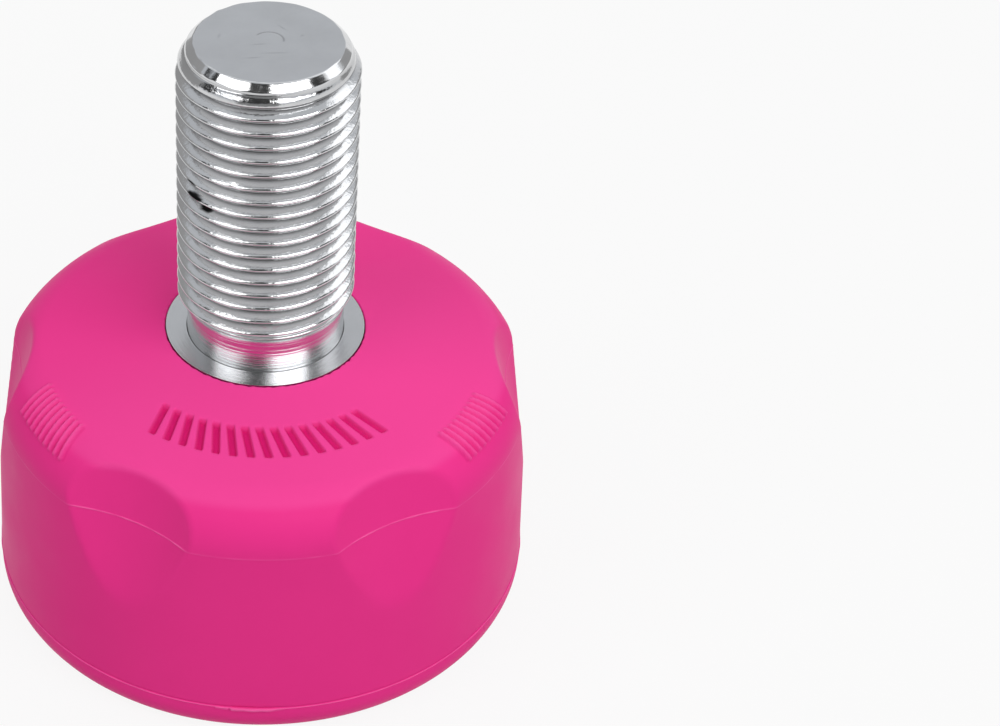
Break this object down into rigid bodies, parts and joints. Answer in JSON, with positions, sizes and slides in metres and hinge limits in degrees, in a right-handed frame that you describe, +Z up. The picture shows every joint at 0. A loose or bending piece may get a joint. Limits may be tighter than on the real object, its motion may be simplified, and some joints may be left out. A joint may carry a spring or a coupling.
{
  "type": "roller skate toe stop",
  "caption": "Toe stop for a quad roller skate: a scalloped pink rubber stopper bonded round a steel insert, with an upright threaded steel stem that screws into the skate's plate.",
  "frame": {"origin": "centre of the flat wear face that the stop stands on", "axes": "+Z up along the stem, from the wear face to the stem's end; -Y through the middle of a plain land between two scoops, which faces the viewer in the picture"},
  "size_m": [0.0496, 0.0496, 0.0586],
  "materials": {
    "pink_rubber": "satin moulded",
    "bright_steel": "bright plated, turned"
  },
  "bodies": {
    "root": {"rubber_stopper": "pink_rubber", "anchor_insert": "bright_steel", "threaded_stem": "bright_steel"}
  },
  "joints": []
}
